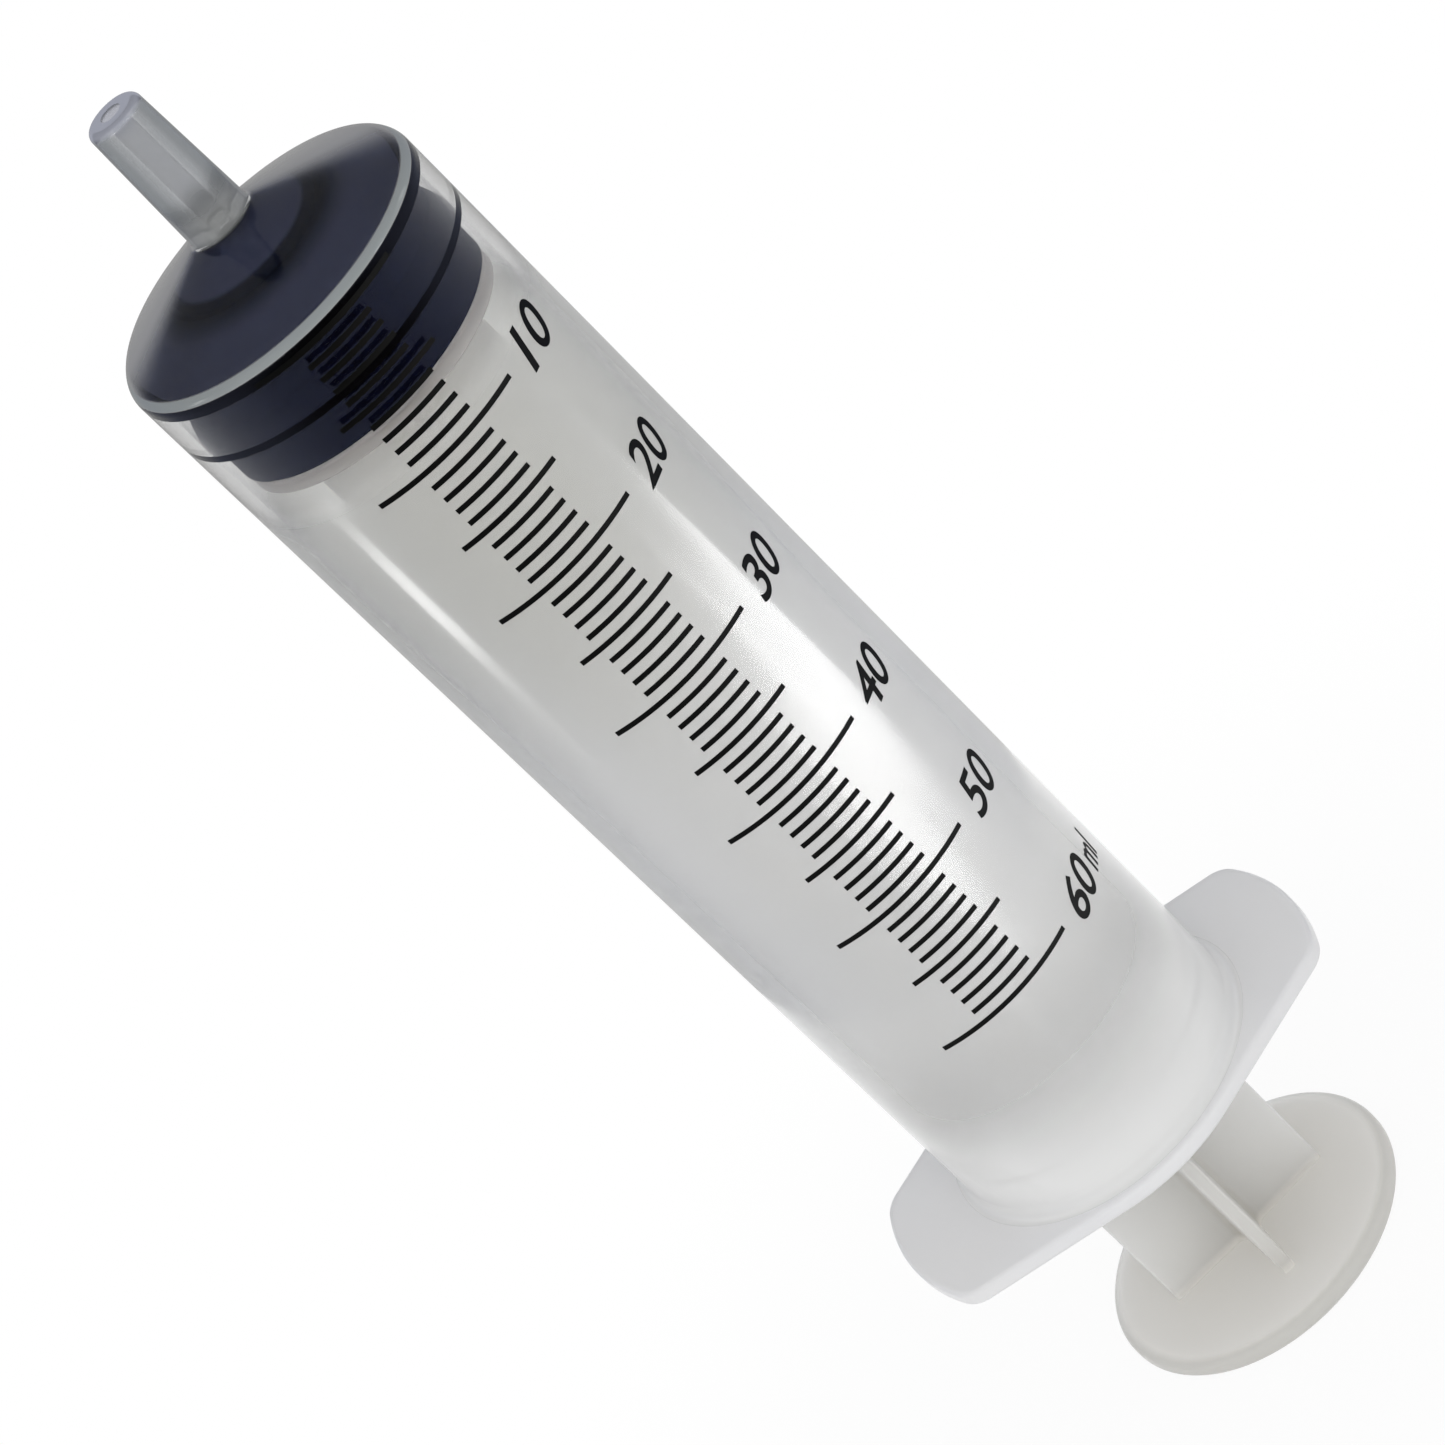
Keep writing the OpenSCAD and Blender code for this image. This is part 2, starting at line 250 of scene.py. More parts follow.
def weld(obj):
    """Closes seams and poles and turns all faces outwards."""
    editing(obj)
    bpy.ops.mesh.select_all(action="SELECT")
    bpy.ops.mesh.remove_doubles(threshold=WELD)
    bpy.ops.mesh.normals_make_consistent(inside=False)
    bpy.ops.object.mode_set(mode="OBJECT")
    return obj


def smooth(obj, angle=32):
    """Smooth shading that keeps flat faces flat and sharp edges sharp."""
    only(obj)
    bpy.ops.object.shade_smooth_by_angle(angle=math.radians(angle))
    even = obj.modifiers.new("even", "WEIGHTED_NORMAL")
    even.keep_sharp = True
    bpy.ops.object.modifier_apply(modifier=even.name)
    return obj


def unite(body, *others):
    """Joins solids into one closed skin."""
    for other in others:
        only(body)
        union = body.modifiers.new("union", "BOOLEAN")
        union.operation = "UNION"
        union.object = other
        union.solver = "EXACT"
        bpy.ops.object.modifier_apply(modifier=union.name)
        bpy.data.objects.remove(other)
    return body


class Pen:
    """Draws a line of edges in the plane of the bore, or flat in a plane square to it."""

    def __init__(self, name, across, up, flat=False):
        bpy.ops.object.select_all(action="DESELECT")
        bpy.ops.mesh.primitive_plane_add(size=MM)
        self.obj = bpy.context.object
        self.obj.name = self.obj.data.name = name
        self.flat = flat
        self.at = Vector((across, up))
        editing(self.obj)
        bpy.ops.mesh.merge(type="CENTER")
        bpy.ops.transform.translate(value=self.place(self.at))

    def place(self, point):
        return (point[0], point[1], 0) if self.flat else (point[0], 0, point[1])

    def line(self, across, up):
        goal = Vector((across, up))
        step = self.place(goal - self.at)
        bpy.ops.mesh.extrude_region_move(TRANSFORM_OT_translate={"value": step})
        self.at = goal

    def arc(self, centre, degrees, steps=ARC):
        """Turns round centre, to the left for positive degrees."""
        axis = (0, 0, 1) if self.flat else (0, -1, 0)
        bpy.ops.mesh.spin(
            steps=steps, angle=-math.radians(degrees), center=self.place(centre), axis=axis
        )
        turned = Matrix.Rotation(math.radians(degrees), 2) @ (self.at - Vector(centre))
        self.at = Vector(centre) + turned

    def through(self, points, radius=0, steps=4):
        """Goes straight from point to point and rounds every corner but the last."""
        points = [Vector(p) for p in points]
        for corner, after in zip(points, points[1:]):
            arrive = (corner - self.at).normalized()
            leave = (after - corner).normalized()
            turn = math.atan2(arrive.cross(leave), arrive.dot(leave))
            if not radius or abs(turn) < STRAIGHT:
                self.line(*corner)
                continue
            cut = radius * math.tan(abs(turn) / 2)
            cut = min(cut, (corner - self.at).length * 0.45, (after - corner).length * 0.45)
            inner = cut / math.tan(abs(turn) / 2)
            self.line(*(corner - arrive * cut))
            side = Vector((-arrive.y, arrive.x)) * math.copysign(inner, turn)
            self.arc(self.at + side, math.degrees(turn), steps)
        self.line(*points[-1])

    def turned(self):
        """Spins the outline once round the bore."""
        bpy.ops.mesh.select_all(action="SELECT")
        bpy.ops.mesh.spin(steps=AROUND, angle=math.tau, center=(0, 0, 0), axis=(0, 0, 1))
        bpy.ops.object.mode_set(mode="OBJECT")
        return weld(self.obj)

    def raised(self, low, high):
        """Fills the closed outline and draws it out from one height to another."""
        bpy.ops.mesh.select_all(action="SELECT")
        bpy.ops.mesh.remove_doubles(threshold=WELD)
        bpy.ops.mesh.edge_face_add()
        bpy.ops.transform.translate(value=(0, 0, low))
        bpy.ops.mesh.extrude_region_move(TRANSFORM_OT_translate={"value": (0, 0, high - low)})
        bpy.ops.object.mode_set(mode="OBJECT")
        return weld(self.obj)


def turned_barrel():
    """Bore, bead, cone, nozzle, shoulder, wall and fillet as one turned skin, open at the flange."""
    pen = Pen("barrel_shell", BORE_R + MOUTH_CHAMFER, FLANGE_Z)
    half = BEAD_LEN / 2
    bead_r = (half ** 2 + BEAD_H ** 2) / (2 * BEAD_H)
    sweep = math.degrees(math.asin(half / bead_r))
    pen.line(BORE_R, FLANGE_Z + MOUTH_CHAMFER)
    pen.line(BORE_R, BEAD_Z - half)
    pen.arc((BORE_R - BEAD_H + bead_r, BEAD_Z), -2 * sweep)
    pen.line(BORE_R, inner_cone_z(BORE_R))
    pen.line(NOZZLE_BORE_R, inner_cone_z(NOZZLE_BORE_R))
    pen.line(NOZZLE_BORE_R, TIP_Z)
    draft = math.degrees(math.atan((NOZZLE_ROOT_R - NOZZLE_TIP_R) / (TIP_Z - cone_z(NOZZLE_ROOT_R))))
    lip = (NOZZLE_TIP_R - NOZZLE_LIP, TIP_Z - NOZZLE_LIP)
    pen.line(lip[0], TIP_Z)
    pen.arc(lip, draft - 90)
    root_r = NOZZLE_ROOT_R + ROOT_FILLET
    root = (root_r, cone_z(root_r) + ROOT_FILLET / cos(CONE_RISE))
    pen.line(root[0] - ROOT_FILLET * cos(draft), root[1] - ROOT_FILLET * sin(draft))
    pen.arc(root, 90 - CONE_RISE - draft)
    shoulder = (BARREL_R - SHOULDER_R, SHOULDER_Z)
    pen.line(shoulder[0] + SHOULDER_R * sin(CONE_RISE), shoulder[1] + SHOULDER_R * cos(CONE_RISE))
    pen.arc(shoulder, CONE_RISE - 90, steps=16)
    for i in range(ARC + 1):
        turn = 90 * (1 - i / ARC)
        pen.line(BARREL_R + FILLET_W * (1 - sin(turn)), FLANGE_TOP_Z + FILLET_H * (1 - cos(turn)))
    return pen.turned()


def flange_rim():
    """Rounded rim of the finger flange, without its two flat faces."""
    side = 90 - WING_TAPER
    reach = SPAN / 2 - WING_CORNER
    corner = side - math.degrees(math.acos((WAIST_R - WING_CORNER) / reach))
    pen = Pen("flange_rim", SPAN / 2, 0, flat=True)
    for wing in (0, 180):
        pen.arc((0, 0), corner)
        pen.arc((reach * cos(wing + corner), reach * sin(wing + corner)), side - corner)
        pen.line(WAIST_R * cos(wing + side), WAIST_R * sin(wing + side))
        pen.arc((0, 0), 180 - 2 * side, steps=16)
        far = wing + 180 - side
        far_corner = wing + 180 - corner
        start = Vector((reach * cos(far_corner), reach * sin(far_corner)))
        pen.line(start.x + WING_CORNER * cos(far), start.y + WING_CORNER * sin(far))
        pen.arc(start, side - corner)
        pen.arc((0, 0), corner)
    rim = pen.raised(FLANGE_Z, FLANGE_TOP_Z)
    heights = (FLANGE_Z, FLANGE_TOP_Z)

    def at_rim(edge):
        ends = [rim.data.vertices[i].co.z for i in edge.vertices]
        return any(all(abs(z - h) < WELD for z in ends) for h in heights)

    pick(rim, "edges", at_rim)
    bpy.ops.mesh.bevel(offset=FLANGE_EDGE, segments=8, profile=0.5, affect="EDGES")
    pick(rim, "polygons", lambda face: abs(face.normal.z) > LEVEL and face.area > FLANGE_FACE)
    bpy.ops.mesh.delete(type="FACE")
    bpy.ops.object.mode_set(mode="OBJECT")
    return rim


def make_barrel():
    """Bridges the rim of the flange to the turned shell, below and above."""
    shell = turned_barrel()
    rim = flange_rim()
    only(shell, rim)
    bpy.ops.object.join()
    for height in (FLANGE_Z, FLANGE_TOP_Z):
        editing(shell)
        bpy.context.tool_settings.mesh_select_mode = (False, True, False)
        bpy.ops.mesh.select_all(action="DESELECT")
        bpy.ops.mesh.select_non_manifold(extend=False)
        bpy.ops.object.mode_set(mode="OBJECT")
        points = shell.data.vertices
        open_edges = {
            edge.index for edge in shell.data.edges
            if edge.select and all(abs(points[i].co.z - height) < WELD for i in edge.vertices)
        }
        pick(shell, "edges", lambda edge: edge.index in open_edges)
        bpy.ops.mesh.bridge_edge_loops()
        bpy.ops.object.mode_set(mode="OBJECT")
    weld(shell)
    return smooth(shell)


def lay_finishes(barrel):
    """Gives the flange, the bores and both sides of the front cone finishes of their own."""
    for face in barrel.data.polygons:
        centre, normal = face.center, face.normal
        r = math.hypot(centre.x, centre.y)
        within = r < BORE_R + MOUTH_CHAMFER
        inward = normal.x * centre.x + normal.y * centre.y < -LEAN * r
        downward = normal.z < -LEAN
        if centre.z < FLANGE_TOP_Z + WELD and not within:
            face.material_index = FLANGE
        elif r < NOZZLE_BORE_R + WELD:
            face.material_index = NOZZLE_BORE
        elif within and centre.z > ZERO_Z and downward:
            face.material_index = INNER_CONE
        elif within and (inward or downward):
            face.material_index = BORE
        elif centre.z > FRONT_CONE_Z and r > NOZZLE_ROOT_R + ROOT_FILLET:
            face.material_index = FRONT_CONE
        else:
            face.material_index = OUTSIDE


def make_stopper():
    """Rubber moulding as one turned skin: cone, ribs, skirt, mouth and pocket."""
    edge_r = RIB_R - STEEP
    mouth_r = NECK_R + NECK_GAP
    pocket_r = HEAD_R + HEAD_GAP
    pocket_top = HEAD_Z + HEAD_PLATE + HEAD_RIB + HEAD_GAP
    groove_in = GROOVE_R - GROOVE_HALF
    groove_out = GROOVE_R + GROOVE_HALF
    pen = Pen("stopper_moulding", 0, stopper_cone_z(NOSE_R))
    pen.through([
        (NOSE_R, stopper_cone_z(NOSE_R)),
        (groove_in, stopper_cone_z(groove_in)),
        (GROOVE_R, stopper_cone_z(GROOVE_R) - GROOVE_DEPTH),
        (groove_out, stopper_cone_z(groove_out)),
        (edge_r, stopper_cone_z(edge_r)),
        (RIB_R, FRONT_RIB_Z + FRONT_CREST),
        (RIB_R, FRONT_RIB_Z),
        (RECESS_R, FRONT_RIB_Z - STEEP),
        (RECESS_R, REAR_RIB_Z + RIB_CREST + SLOW),
        (RIB_R, REAR_RIB_Z + RIB_CREST),
        (RIB_R, REAR_RIB_Z),
        (SKIRT_R, REAR_RIB_Z - STEEP),
        (SKIRT_R, STOPPER_REAR_Z + SKIRT_EDGE),
        (SKIRT_R - SKIRT_EDGE, STOPPER_REAR_Z),
        (mouth_r + MOUTH_EDGE, STOPPER_REAR_Z),
        (mouth_r, STOPPER_REAR_Z + MOUTH_EDGE),
        (mouth_r, LIP_Z),
        (pocket_r, LIP_Z),
        (pocket_r, HEAD_Z + HEAD_PLATE + HEAD_GAP),
        (HEAD_TOP_R + HEAD_GAP, pocket_top),
        (0, pocket_top),
    ], radius=RUBBER_EDGE)
    return smooth(pen.turned(), 24)


def thumb_disc():
    """Disc with a rounded rim, standing on the floor."""
    pen = Pen("plunger_moulding", 0, 0)
    pen.line(THUMB_R - THUMB_EDGE, 0)
    pen.arc((THUMB_R - THUMB_EDGE, THUMB_EDGE), 90)
    pen.line(THUMB_R, THUMB_T - THUMB_EDGE)
    pen.arc((THUMB_R - THUMB_EDGE, THUMB_T - THUMB_EDGE), 90)
    pen.line(0, THUMB_T)
    return pen.turned()


def four_vanes():
    """Crossed vanes with filleted inner corners and rounded long edges."""
    cross = Pen("vanes", VANE_HALF, -VANE_TIP, flat=True)
    inner = VANE_ROOT + VANE_FILLET
    for quarter in range(4):
        turn = Matrix.Rotation(math.radians(90 * quarter), 2)
        cross.line(*(turn @ Vector((VANE_HALF, VANE_TIP))))
        cross.line(*(turn @ Vector((inner, VANE_ROOT))))
        cross.arc(turn @ Vector((inner, inner)), -90, steps=8)
        cross.line(*(turn @ Vector((VANE_TIP, VANE_HALF))))
    vanes = cross.raised(THUMB_T / 2, CARRIER_Z - CARRIER_T / 2)

    def long_edge(edge):
        a, b = (vanes.data.vertices[i].co for i in edge.vertices)
        return abs(a.z - b.z) > MM and max(abs(a.x), abs(a.y)) > VANE_HALF - WELD

    pick(vanes, "edges", long_edge)
    bpy.ops.mesh.bevel(offset=VANE_EDGE, segments=4, profile=0.5, affect="EDGES")
    bpy.ops.object.mode_set(mode="OBJECT")
    return vanes


def carrier_and_head():
    """Disc behind the stopper, neck and snap head, turned in one."""
    rim_r = CARRIER_R - CARRIER_EDGE
    low = CARRIER_Z - CARRIER_T
    top = HEAD_Z + HEAD_PLATE
    pen = Pen("carrier", 0, low)
    pen.line(rim_r, low)
    pen.arc((rim_r, low + CARRIER_EDGE), 90, steps=6)
    pen.line(CARRIER_R, CARRIER_Z - CARRIER_EDGE)
    pen.arc((rim_r, CARRIER_Z - CARRIER_EDGE), 90, steps=6)
    pen.through([
        (NECK_R, CARRIER_Z), (NECK_R, HEAD_Z), (HEAD_R, HEAD_Z), (HEAD_R, top), (0, top),
    ])
    return pen.turned()


def head_rib(turn):
    """Rib that leads the head into the stopper, turned by so many degrees."""
    root = HEAD_Z + HEAD_PLATE / 2
    shoulder = HEAD_Z + HEAD_PLATE
    top = shoulder + HEAD_RIB
    pen = Pen("head_rib", HEAD_RIB_R, root)
    pen.through([
        (HEAD_RIB_R, shoulder), (HEAD_TOP_R, top), (-HEAD_TOP_R, top),
        (-HEAD_RIB_R, shoulder), (-HEAD_RIB_R, root), (HEAD_RIB_R, root),
    ])
    bpy.ops.mesh.select_all(action="SELECT")
    bpy.ops.mesh.remove_doubles(threshold=WELD)
    bpy.ops.mesh.edge_face_add()
    bpy.ops.transform.translate(value=(0, -VANE_ROOT, 0))
    bpy.ops.mesh.extrude_region_move(TRANSFORM_OT_translate={"value": (0, 2 * VANE_ROOT, 0)})
    bpy.ops.mesh.select_all(action="SELECT")
    bpy.ops.transform.rotate(value=math.radians(turn), orient_axis="Z", center_override=(0, 0, 0))
    bpy.ops.object.mode_set(mode="OBJECT")
    return weld(pen.obj)


def make_plunger():
    """Whole rod as one skin, from the thumb disc to the snap head."""
    body = unite(thumb_disc(), four_vanes(), carrier_and_head(), head_rib(0), head_rib(90))
    return smooth(weld(body))


def shift(obj, step):
    """Moves the mesh of an object and leaves its origin."""
    editing(obj)
    bpy.ops.mesh.select_all(action="SELECT")
    bpy.ops.transform.translate(value=step)
    bpy.ops.object.mode_set(mode="OBJECT")


def make_mark(kind, half_angle):
    """A line of the scale at its first place, flat in front of the barrel."""
    half = math.radians(half_angle) * BARREL_R
    bpy.ops.object.select_all(action="DESELECT")
    bpy.ops.mesh.primitive_cube_add(size=1, location=(0, 0, 0), scale=(2 * half, INK, LINE))
    mark = bpy.context.object
    mark.name = "mark_" + kind
    bpy.ops.object.transform_apply(location=True, rotation=True, scale=True)

    def long_edge(edge):
        a, b = (mark.data.vertices[i].co for i in edge.vertices)
        return abs(a.x - b.x) > half

    pick(mark, "edges", long_edge)
    bpy.ops.mesh.subdivide(number_cuts=round(half_angle))
    bpy.ops.object.mode_set(mode="OBJECT")
    shift(mark, (0, 0, ZERO_Z))
    return mark


def copy_mark(mark, steps):
    """Copies a mark so many millilitres down the scale."""
    only(mark)
    bpy.ops.object.duplicate(linked=False)
    copy = bpy.context.object
    copy.location.z = -steps * ML
    bpy.ops.object.transform_apply(location=True)
    return copy


def drop_doubled_corners(outline):
    """Takes out a corner that doubles the one before it, so that a bolder letter keeps its holes."""
    only(outline)
    bpy.ops.object.mode_set(mode="EDIT")
    bpy.ops.curve.select_all(action="DESELECT")
    for spline in outline.data.splines:
        corners = spline.bezier_points
        for i, corner in enumerate(corners):
            if (corner.co - corners[i - 1].co).length < DOUBLED:
                corner.select_control_point = True
    bpy.ops.curve.delete(type="VERT")
    bpy.ops.object.mode_set(mode="OBJECT")


def make_label(text, start, end, height, middle):
    """A number or unit, drawn flat: start and end are arc lengths round the barrel."""
    bpy.ops.object.select_all(action="DESELECT")
    bpy.ops.object.text_add()
    label = bpy.context.object
    label.name = "label_" + text
    label.data.body = text
    label.data.size = 1
    label.data.shear = LABEL_SLANT
    label.data.offset = LABEL_WEIGHT
    label.data.extrude = 0.5
    label.data.resolution_u = 8
    bpy.ops.object.convert(target="CURVE")
    drop_doubled_corners(label)
    bpy.ops.object.convert(target="MESH")
    label.dimensions = (end - start, height, INK)
    label.rotation_euler.x = math.radians(90)
    bpy.ops.object.transform_apply(location=True, rotation=True, scale=True)
    corner = [min(v.co[i] for v in label.data.vertices) for i in range(3)]
    shift(label, Vector((start, -INK / 2, middle - height / 2)) - Vector(corner))
    weld(label)
    editing(label)
    across = start
    while across < end:
        bpy.ops.mesh.select_all(action="SELECT")
        bpy.ops.mesh.bisect(plane_co=(across, 0, 0), plane_no=(1, 0, 0))
        across += LABEL_SLICE
    bpy.ops.object.mode_set(mode="OBJECT")
    return label


def make_scale():
    """Marks and numbers drawn flat in front of the barrel and then bent round it."""
    marks = {kind: make_mark(kind, angle) for kind, angle in MARK_ANGLES.items()}
    flat = [copy_mark(marks["long"], ml) for ml in range(0, FULL + 1, 10)]
    flat += [copy_mark(marks["medium"], ml) for ml in range(5, FULL, 10)]
    flat += [copy_mark(marks["short"], ml) for ml in range(FULL) if ml % 5]
    for mark in marks.values():
        bpy.data.objects.remove(mark)
    for ml in range(10, FULL + 1, 10):
        middle = ZERO_Z - ml * ML - DIGIT_DROP
        flat.append(make_label(str(ml), LABEL_START, LABEL_END, DIGIT_H, middle))
    unit_z = ZERO_Z - FULL * ML - UNIT_DROP
    flat.append(make_label("ml", UNIT_START, UNIT_END, UNIT_H, unit_z))
    ink = only(*flat)
    bpy.ops.object.join()
    ink.name = ink.data.name = "scale_print"
    radius = BARREL_R + INK
    across = [point.co.x for point in ink.data.vertices]
    bend = ink.modifiers.new("round_the_barrel", "SIMPLE_DEFORM")
    bend.deform_method = "BEND"
    bend.deform_axis = "Z"
    bend.angle = (max(across) - min(across)) / radius
    bpy.ops.object.modifier_apply(modifier=bend.name)
    shift(ink, (0, -radius, 0))
    return smooth(weld(ink), 40)


class Field:
    """A number that flows through a material's nodes and is used like any number."""

    def __init__(self, finish, socket):
        self.finish = finish
        self.socket = socket

    def maths(self, operation, first, second):
        return self.finish.node("Math", {"operation": operation}, {0: first, 1: second})

    def __add__(self, other):
        return self.maths("ADD", self, other)

    def __sub__(self, other):
        return self.maths("SUBTRACT", self, other)

    def __rsub__(self, other):
        return self.maths("SUBTRACT", other, self)

    def __mul__(self, other):
        return self.maths("MULTIPLY", self, other)

    __radd__ = __add__
    __rmul__ = __mul__

    def power(self, exponent):
        return self.maths("POWER", self, exponent)

    def at_most(self, top):
        return self.maths("MINIMUM", self, top)

    def larger(self, other):
        return self.maths("MAXIMUM", self, other)


class Finish:
    """A material in the making."""

    def __init__(self, name):
        self.material = bpy.data.materials.new(name)
        self.material.use_nodes = True
        self.tree = self.material.node_tree
        self.shader = self.tree.nodes["Principled BSDF"]

    def feed(self, socket, value):
        if isinstance(value, Field):
            self.tree.links.new(value.socket, socket)
        else:
            socket.default_value = value

    def node(self, kind, settings=None, sockets=None, out=0):
        """Adds a node: its type, its settings, then its sockets; gives the output as a field."""
        made = self.tree.nodes.new("ShaderNode" + kind)
        for name, value in (settings or {}).items():
            setattr(made, name, value)
        for key, value in (sockets or {}).items():
            self.feed(made.inputs[key], value)
        return Field(self, made.outputs[out])

    def place(self):
        return self.node("TexCoord", out="Object")

    def height(self):
        return self.node("SeparateXYZ", None, {0: self.place()}, out="Z")

    def length(self, vector):
        return self.node("VectorMath", {"operation": "LENGTH"}, {0: vector}, out="Value")

    def from_axis(self):
        """Distance from the axis of the bore."""
        flat = self.node("VectorMath", {"operation": "MULTIPLY"}, {0: self.place(), 1: (1, 1, 0)})
        return self.length(flat)

    def noise(self, scale, detail):
        sockets = {"Vector": self.place(), "Scale": scale, "Detail": detail}
        return self.node("TexNoise", None, sockets)

    def ray(self, kind):
        """1 for one kind of ray, such as Camera, and 0 for all others."""
        return self.node("LightPath", out="Is " + kind + " Ray")

    def blend(self, share, first, second):
        """A colour between two colours, which a Mix node holds in its sockets 6 and 7."""
        return self.node("Mix", {"data_type": "RGBA"}, {0: share, 6: first, 7: second}, out=2)

    def set(self, **sockets):
        """Sets the shader's sockets: Base_Color stands for Base Color."""
        for name, value in sockets.items():
            self.feed(self.shader.inputs[name.replace("_", " ")], value)

    def bump(self, height, distance):
        return self.node("Bump", None, {"Height": height, "Distance": distance})

    def cover(self, share, layer):
        """Lays another shader over the first one: share is how much of it shows."""
        first = Field(self, self.shader.outputs[0])
        mixed = self.node("MixShader", None, {0: share, 1: first, 2: layer})
        self.tree.links.new(mixed.socket, self.tree.nodes["Material Output"].inputs[0])


def colour(red, green, blue):
    return (red, green, blue, 1)


WHITE = colour(1, 1, 1)
CLEAR_UPPER = colour(0.865, 0.865, 0.845)


def rise(field, low, high):
    """Runs smoothly from 0 at low to 1 at high."""
    finish = field.finish
    sockets = {"Value": field, "From Min": low, "From Max": high}
    return finish.node("MapRange", {"interpolation_type": "SMOOTHSTEP"}, sockets)


def milky(f, share, tint, roughness):
    """Lays milk into the clear plastic and gives the material."""
    sockets = {"Base Color": tint, "Roughness": roughness, "IOR": PP_IOR}
    f.cover(share, f.node("BsdfPrincipled", None, sockets))
    return f.material


def clear_tint(f, fineness):
    """Tint of the clear plastic, cooler and warmer in clouds."""
    cloud = f.noise(fineness, 3)
    return f.blend(cloud, colour(0.93, 0.94, 0.955), colour(0.96, 0.955, 0.945))


def outer_wall(name, shine):
    """Polished outside of tube, shoulder, cone and nozzle, with painted light in a ring at the
    shoulder and painted glare at the cone's edge; shine tints what it mirrors.
    """
    f = Finish(name)
    height = f.height()
    foot = 1 - rise(height, *FOOT_FADE)
    upper = rise(height, *UPPER_FADE)
    tube = 1 - rise(height, *TUBE_FADE)
    front = rise(height, *FRONT_FADE)
    band = rise(height, *PAINTED_LIGHT_BAND_FADE)
    cone = rise(height, *CONE_FADE)
    nozzle = rise(height, *NOZZLE_FADE)
    root = rise(height, *ROOT_FADE_IN) - rise(height, *ROOT_FADE_OUT)
    mouth = rise(height, *MOUTH_FADE)
    glancing = f.node("LayerWeight", None, {"Blend": 0.5}, out="Facing")

    # How much milk shows: most at the edges, in the band of painted light at the shoulder and at the
    # foot
    # On the cone the milk at the glancing edge is partly haze and partly painted glare
    edge = glancing.power(4) * (0.75 - front * 0.68) + rise(glancing, 0.56, 0.76) * cone * 0.78
    share = edge + (band - cone) * 0.85 + nozzle * 0.25 + (mouth + root) * 0.45
    share = share + foot * 0.65 + tube * 0.25

    # Tint of the milk, below the band and from the band on; the band's tone is painted light, piped
    # through the shoulder's rounding
    body = f.blend(f.noise(45, 3), colour(0.75, 0.755, 0.76), colour(0.78, 0.77, 0.75))
    body = f.blend(upper * tube, body, colour(0.60, 0.60, 0.585))
    body = f.blend(foot, body, colour(0.78, 0.775, 0.765))
    tip = f.blend(cone, colour(0.28, 0.3, 0.3), colour(0.36, 0.355, 0.345))
    tip = f.blend(nozzle, tip, colour(0.215, 0.22, 0.22))
    tip = f.blend(root, tip, colour(0.29, 0.295, 0.29))
    tip = f.blend(mouth, tip, colour(0.4, 0.41, 0.47))

    # Tint of the clear plastic, darker the longer the way through it
    clear = f.blend(upper, clear_tint(f, 45), CLEAR_UPPER)
    clear = f.blend(glancing.power(1.5) * front, clear, colour(0.25, 0.25, 0.24))
    beside = rise(glancing, 0.07, 0.16)
    grey = f.blend(beside, colour(0.74, 0.75, 0.78), colour(0.34, 0.36, 0.37))
    f.set(
        Base_Color=f.blend(nozzle, clear, grey), Roughness=0.12 - front * 0.09,
        IOR=PP_IOR, Transmission_Weight=1.0, Specular_Tint=shine,
        Normal=f.bump(f.noise(140, 2), 0.005 * MM),
    )
    return milky(f, share.at_most(1), f.blend(band, body, tip), 0.2)


def inner_wall():
    """Bore, dull from the core of the mould and polished in front."""
    f = Finish("barrel_pp_bore")
    height = f.height()
    front = rise(height, *BORE_FRONT_FADE)
    upper = rise(height, *UPPER_FADE)
    f.set(
        Base_Color=f.blend(upper - front, clear_tint(f, 70), CLEAR_UPPER),
        Roughness=0.5 - front * 0.47, IOR=PP_IOR, Transmission_Weight=1.0,
        Specular_Tint=colour(0.3, 0.34, 0.5),
    )
    return f.material


def inner_cone():
    """Inside of the front cone, next to the rubber, with painted shade round the nozzle's inlet."""
    f = Finish("barrel_pp_inner_cone")
    f.set(Base_Color=clear_tint(f, 70), Roughness=0.03, IOR=1.26, Transmission_Weight=1.0)
    # Painted shade round the inlet, laid on as a black milk
    inlet = 1 - rise(f.from_axis(), INLET_SHADE_R, INLET_SHADE_R + 0.1 * MM)
    return milky(f, inlet, colour(0.004, 0.004, 0.005), 0.3)


def nozzle_bore():
    """Smooth bore of the nozzle, which catches light along both its sides."""
    f = Finish("barrel_pp_nozzle_bore")
    mouth = rise(f.height(), *BORE_MOUTH_FADE)
    tint = f.blend(mouth, colour(0.62, 0.63, 0.64), colour(0.42, 0.43, 0.5))
    f.set(Base_Color=tint, Roughness=0.08, IOR=PP_IOR, Transmission_Weight=1.0)
    return f.material


def flange_pp():
    """Finger flange, mostly milk."""
    f = Finish("flange_pp")
    cloud = f.noise(45, 3)
    clear = colour(0.86, 0.87, 0.88)
    f.set(Base_Color=clear, Roughness=0.3, IOR=PP_IOR, Transmission_Weight=1.0)
    tint = f.blend(cloud, colour(0.86, 0.86, 0.88), colour(0.90, 0.885, 0.87))
    return milky(f, cloud * 0.1 + 0.75, tint, 0.3)


